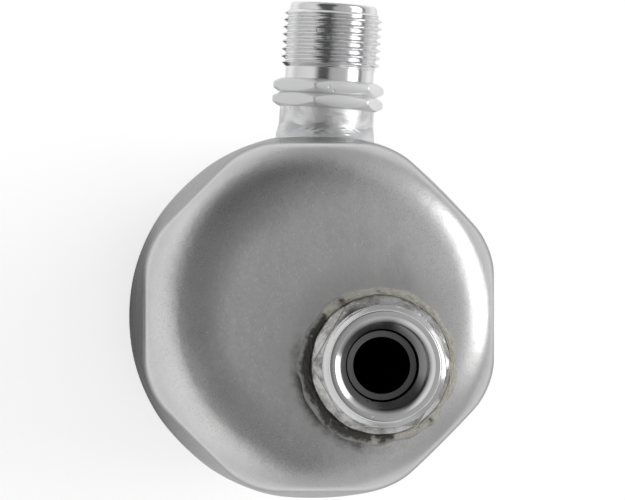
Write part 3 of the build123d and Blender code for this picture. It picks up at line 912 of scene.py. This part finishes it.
def sootyBraze():
    # grey alloy inside its edge, with a painted shadow line where the alloy drops to the flux; beyond it beige flux
    # with soot, and small bright beads
    paint, place = newFinish("sootyBraze")
    x, y, _ = paint.axes(place)
    along = paint.axes(paint.pattern())[0]
    dx, dy = fromOutlet(x, y)
    patches = paint.noise(place, 230, 5, 0.62)
    fine = paint.noise(place, 1500, 3, 0.6)
    beyond = paint.ease(along, outletBraze["edgeAt"] - 0.015, outletBraze["edgeAt"] + 0.02)
    # painted shadow: a dark line just outside the alloy's edge
    edgeShadow = paint.ease(abs(along - outletBraze["edgeAt"] - 0.02), 0.0, 0.05, 0.8, 0.0)
    lean = (dx * -0.85 + dy * -0.5) / 0.014
    soot = paint.ease(lean * 1.1 + (patches - 0.5) * 3.8, 0.05, 0.5) * beyond
    toe = paint.ease(along + (fine - 0.5) * 0.35 + (patches - 0.5) * 0.6, 0.74, 0.96)
    toe = toe * paint.ease(lean, -0.4, 0.5, 0.2, 1.0)
    pale = paint.blend(paint.ease(fine, 0.3, 0.7), (0.50, 0.488, 0.42), (0.66, 0.65, 0.585))
    metal = paint.blend(paint.ease(patches, 0.4, 0.65), (0.62, 0.62, 0.615), (0.30, 0.29, 0.27))
    base = paint.blend(beyond, metal, pale)
    base = paint.blend(paint.calc("MINIMUM", soot * 0.94 + edgeShadow, 1.0), base, (0.035, 0.033, 0.027))
    base = paint.blend(toe, base, (0.44, 0.44, 0.435))
    bead = paint.ease(paint.cells(place, 900), 0.1, 0.2, 1.0, 0.0) * paint.ease(patches, 0.56, 0.66)
    base = paint.blend(bead * 0.6, base, (0.6, 0.59, 0.55))
    rough = 0.27 + beyond * 0.35 - bead * 0.2 + (fine - 0.5) * 0.2
    bump = paint.bump(fine + bead, 0.5, 0.00012, paint.bump(patches, 0.5, 0.0004))
    metallic = 0.95 - beyond * 0.85 * (1.0 - toe)
    return paint.surface(Base_Color=base, Metallic=metallic, Roughness=rough, Normal=bump)


def meltedBraze():
    # clean, run alloy on the side port's neck
    paint, place = newFinish("meltedBraze")
    patches = paint.noise(place, 130, 4, 0.55)
    fine = paint.noise(place, 1100, 3, 0.6)
    base = paint.blend(paint.ease(patches, 0.35, 0.7), (0.70, 0.705, 0.71), (0.50, 0.51, 0.52))
    rough = 0.33 + paint.ease(patches, 0.4, 0.7) * 0.14
    bump = paint.bump(fine, 0.12, 0.00005, paint.bump(patches, 0.15, 0.0006))
    return paint.surface(Base_Color=base, Metallic=0.85, Roughness=rough, Normal=bump)


def satinMetal(name, tone, roughness, grainScale=1800, grain=0.2, deepShadeRange=None):
    # plain satin metal for parts that are mostly out of sight, darkened by painted shade over one range of z and above
    # it
    paint, place = newFinish(name)
    clouds = paint.noise(place, 70, 4, 0.55)
    fine = paint.noise(place, grainScale, 2, 0.6)
    base = paint.blend(paint.ease(clouds, 0.3, 0.7), tone, tuple(0.82 * c for c in tone))
    rough = roughness + (clouds - 0.5) * 0.12
    if deepShadeRange is not None:
        # painted shade: darker where the tube's end lies deep in the outlet's socket
        deepShade = paint.ease(paint.axes(place)[2] + (clouds - 0.5) * 0.004, *deepShadeRange)
        base = paint.blend(deepShade * 0.36, base, (0.07, 0.068, 0.064))
        rough = rough + deepShade * 0.1
    return paint.surface(Base_Color=base, Metallic=1.0, Roughness=rough, Normal=paint.bump(fine, grain, 0.00005))


def mouldedNylon(name, tone):
    # moulded plastic with a fine spark texture
    paint, place = newFinish(name)
    clouds = paint.noise(place, 90, 3, 0.5)
    spark = paint.noise(place, 2600, 2, 0.6)
    base = paint.blend(clouds, tone, tuple(0.8 * c for c in tone))
    rough = 0.42 + (spark - 0.5) * 0.12
    return paint.surface(Base_Color=base, Roughness=rough, Normal=paint.bump(spark, 0.25, 0.00005))


def wovenScreen():
    # fine steel mesh: two crossing sets of wires
    paint, place = newFinish("wovenScreen")
    x, y, z = paint.axes(place)
    wires = paint.calc("MAXIMUM", paint.calc("SINE", z * 18000), paint.calc("SINE", paint.calc("ARCTAN2", y, x) * 90))
    base = paint.blend(paint.ease(wires, 0.1, 0.7), 0.03, (0.55, 0.55, 0.56))
    bump = paint.bump(wires, 0.6, 0.00008)
    return paint.surface(Base_Color=base, Metallic=0.9, Roughness=0.35 + wires * 0.05, Normal=bump)


def desiccantFelt():
    # white needled felt with matted fibres
    paint, place = newFinish("desiccantFelt")
    clouds = paint.noise(place, 80, 4, 0.6)
    fibres = paint.noise(paint.stretched(place, (900, 1400, 700)), 1.0, 4, 0.7, 1.4)
    base = paint.blend(paint.ease(clouds, 0.3, 0.7), (0.72, 0.71, 0.67), (0.62, 0.605, 0.56))
    base = paint.blend(paint.ease(fibres, 0.35, 0.7, 0.35, 0.0), base, (0.42, 0.41, 0.38))
    return paint.surface(Base_Color=base, Roughness=0.92, Sheen_Weight=0.25, Normal=paint.bump(fibres, 0.7, 0.0003))


makeBodyShell(satinShell())
makeOutletFitting(machinedBright("machinedOutlet", (0.74, 0.74, 0.745), 0.17, (0.2050, 0.2085)))
makeInletFitting(machinedBright("machinedInlet", (0.76, 0.76, 0.765), 0.16, matt=(0.0402, 0.0455)))
makeOutletBraze(sootyBraze())
makeInletBraze(meltedBraze())
makeWeldBead(satinMetal("weldSeam", (0.52, 0.52, 0.52), 0.34, 900, 0.4))
felt = desiccantFelt()
makeBag("desiccantBagFront", -1, "desiccant_bag_front", felt, 31)
makeBag("desiccantBagRear", 1, "desiccant_bag_rear", felt, 32)
print("pieces made")

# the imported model's own pieces keep their shape and get their finish
filterNylon = mouldedNylon("nylonFilter", (0.05, 0.05, 0.052))
strapNylon = mouldedNylon("nylonStrap", (0.70, 0.69, 0.65))
carried = {
    "bottom_cap": satinMetal("satinCap", (0.58, 0.58, 0.58), 0.32),
    "pickup_tube": satinMetal("drawnTube", (0.50, 0.50, 0.50), 0.3, deepShadeRange=(0.172, 0.192)),
    "tube_braze": satinMetal("innerBraze", (0.5, 0.48, 0.43), 0.42, 700, 0.5),
    "vapour_deflector": mouldedNylon("nylonDeflector", (0.62, 0.60, 0.54)),
    "deflector_retainer": satinMetal("springSteel", (0.42, 0.41, 0.40), 0.28),
    "tube_spacer": mouldedNylon("nylonSpacer", (0.60, 0.58, 0.52)),
    "filter_clip": filterNylon,
    "filter_body": filterNylon,
    "filter_screen": wovenScreen(),
    "bag_tie_upper": strapNylon,
    "bag_tie_lower": strapNylon,
}
for name, finish in carried.items():
    nodes[name].data.materials.clear()
    nodes[name].data.materials.append(finish)
print("finishes given to", len(carried), "packed pieces")


# Floor, light and camera

studio = {
    # level of the studio's walls by the angle from overhead, in degrees, negative to the left
    "panels": [
        (-180, 0.5), (-110, 0.7), (-60, 0.82), (-38, 0.86), (-25, 0.09), (-6, 0.1), (1, 0.45), (28, 0.54),
        (47, 0.58), (53, 3.0), (74, 3.0), (80, 0.26), (101, 0.28), (108, 0.7), (180, 0.5),
    ],
    "endLevels": (0.5, 0.4),
    "leftEnds": 0.22,
    "lean": (12.0, 6.0),
    "middleShift": (7.0, 13.0),
    "stripEnds": ((-0.24, -0.02), (0.44, 0.6)),
    "stripBase": (0.42, 0.6),
    # the brightest level that the ramp of panels holds
    "top": 3.0,
    # degrees over which the left's slant and the middle's widening fade out, and the right's strip sets in
    "leftOnly": (-18, -4),
    "middleOnly": (20, 40),
    "rightOnly": (34, 46),
    "floorHalf": 6.0,
    "floorZ": -0.0002,
    "floorGlow": 0.55,
    # painted falloff of light: between these distances the floor turns greyer and glows less
    "paintedFalloffRange": (0.16, 0.6),
    # painted shade: a dark spot of floor that only reflections see, standing in for the object's own shade on the
    # floor: its middle, full and end radius
    "shade": (-0.05, -0.006, 0.024, 0.05),
    # painted shade: around the object metal sees less of the floor's glow
    "paintedNearShade": (0.09, 0.19),
}
view = {
    "eye": (-0.0304, 0.0022, 1.36),
    "target": (-0.0012, 0.01245, 0.1815),
    "lens": 365.9,
    "sensor": 36.0,
    "clip": (0.05, 50.0),
}


def makeFloor():
    # white round the object, with painted falloff of light that makes it a little greyer and dimmer farther out, and
    # painted shade near the object that only metal sees
    half, level = studio["floorHalf"], studio["floorZ"]
    mesh = bpy.data.meshes.new("floor")
    corners = [(-half, -half, level), (half, -half, level), (half, half, level), (-half, half, level)]
    mesh.from_pydata(corners, [], [(0, 1, 2, 3)])
    paint, place = newFinish("paleFloor")
    x, y, _ = paint.axes(place)
    reach = paint.distance(x, y)
    # painted falloff of light with distance from the object
    paintedFalloff = paint.ease(reach, *studio["paintedFalloffRange"])
    shadeX, shadeY, shadeFull, shadeEnd = studio["shade"]
    # painted shade, seen only by metal: the floor's colour goes dark in a spot and its glow drops near the object
    near = paint.ease(paint.distance(x - shadeX, y - shadeY), shadeFull, shadeEnd, 1.0, 0.0)
    rays = [paint.node("ShaderNodeLightPath", out=f"Is {kind} Ray") for kind in ("Camera", "Glossy", "Transmission")]
    paintedShadeInReflections = (1.0 - near) * (1.0 - paintedFalloff * 0.4) * paint.ease(reach, *studio["paintedNearShade"], 0.68, 1.0)
    seen = paint.calc("MINIMUM", rays[0] * (1.0 - paintedFalloff * 0.75) + (rays[1] + rays[2]) * paintedShadeInReflections, 1.0)
    base = paint.blend(paintedFalloff, 0.88, (0.7, 0.7, 0.705))
    base = paint.blend(near * rays[1] * 0.9, base, 0.04)
    glow = paint.blend(seen, 0.0, studio["floorGlow"])
    matt = {"Roughness": 1.0, "Specular_IOR_Level": 0.0, "Emission_Strength": 1.0}
    mesh.materials.append(paint.surface(Base_Color=base, Emission_Color=glow, **matt))
    floor = addObject("floor", mesh)


def makeStudio():
    # a grey room with long soft panels: their level depends on the angle across the room and fades to its ends
    bpy.context.scene.world = bpy.data.worlds.new("studio")
    paint = Paint(bpy.context.scene.world)
    x, y, z = paint.axes(paint.node("ShaderNodeTexCoord", out="Generated"))
    across, top = paint.calc("ARCTAN2", x, z), studio["top"]
    # the left panel's edge is slanted, and the dark gap beside it widens towards the ends
    slant = paint.calc("TANH", y * 4)
    lean, curve = np.radians(studio["lean"])
    bend = slant * lean + slant * slant * curve
    leftOnly = paint.ease(across, *np.radians(studio["leftOnly"]), 1.0, 0.0)
    middleOnly = paint.ease(abs(across), *np.radians(studio["middleOnly"]), 1.0, 0.0)
    turn = paint.ease(y, -0.2, 0.2, *np.radians(studio["middleShift"]))
    widened = paint.ease(abs(y), 0.2, 0.5) * middleOnly * turn
    shifted = across + bend * leftOnly - widened
    stops = [((a + 180) / 360, (level / top,) * 3) for a, level in studio["panels"]]
    ramp = paint.node("ShaderNodeValToRGB", {"stops": stops}, {0: shifted / (2 * math.pi) + 0.5})
    # the right panel is a short strip
    low, high = studio["stripEnds"]
    inStrip = paint.ease(y, *low) * paint.ease(y, *high, 1.0, 0.0)
    rightOnly = paint.ease(across, *np.radians(studio["rightOnly"]))
    free = paint.calc("MAXIMUM", inStrip, 1.0 - rightOnly)
    cap = paint.ease(y, -0.2, 0.3, *(level / top for level in studio["stripBase"])) + free * top
    side = paint.calc("MINIMUM", ramp, cap)
    ends = paint.ease(abs(y), 0.72, 0.95)
    ending = paint.ease(y, -0.5, 0.5, *(level / top for level in studio["endLevels"]))
    ending = ending + paint.ease(x, -0.55, -0.15, studio["leftEnds"] / top, 0.0)
    colour = paint.blend(ends, side, ending)
    glow = paint.node("ShaderNodeBackground", values={"Color": colour, "Strength": top})
    paint.node("ShaderNodeOutputWorld", values={"Surface": glow})


def makeCamera():
    # the camera's own axes are right, up and back
    eye, target = Vector(view["eye"]), Vector(view["target"])
    data = bpy.data.cameras.new("camera")
    data.lens, data.sensor_width = view["lens"], view["sensor"]
    data.clip_start, data.clip_end = view["clip"]
    camera = addObject("camera", data)
    back = (eye - target).normalized()
    right = Vector((0, 1, 0)).cross(back).normalized()
    up = back.cross(right)
    camera.matrix_world = Matrix.Translation(eye) @ Matrix((right, up, back)).transposed().to_4x4()
    bpy.context.scene.camera = camera


makeFloor()
makeStudio()
makeCamera()
bpy.context.scene.view_settings.view_transform = "Standard"

print("scene ready")
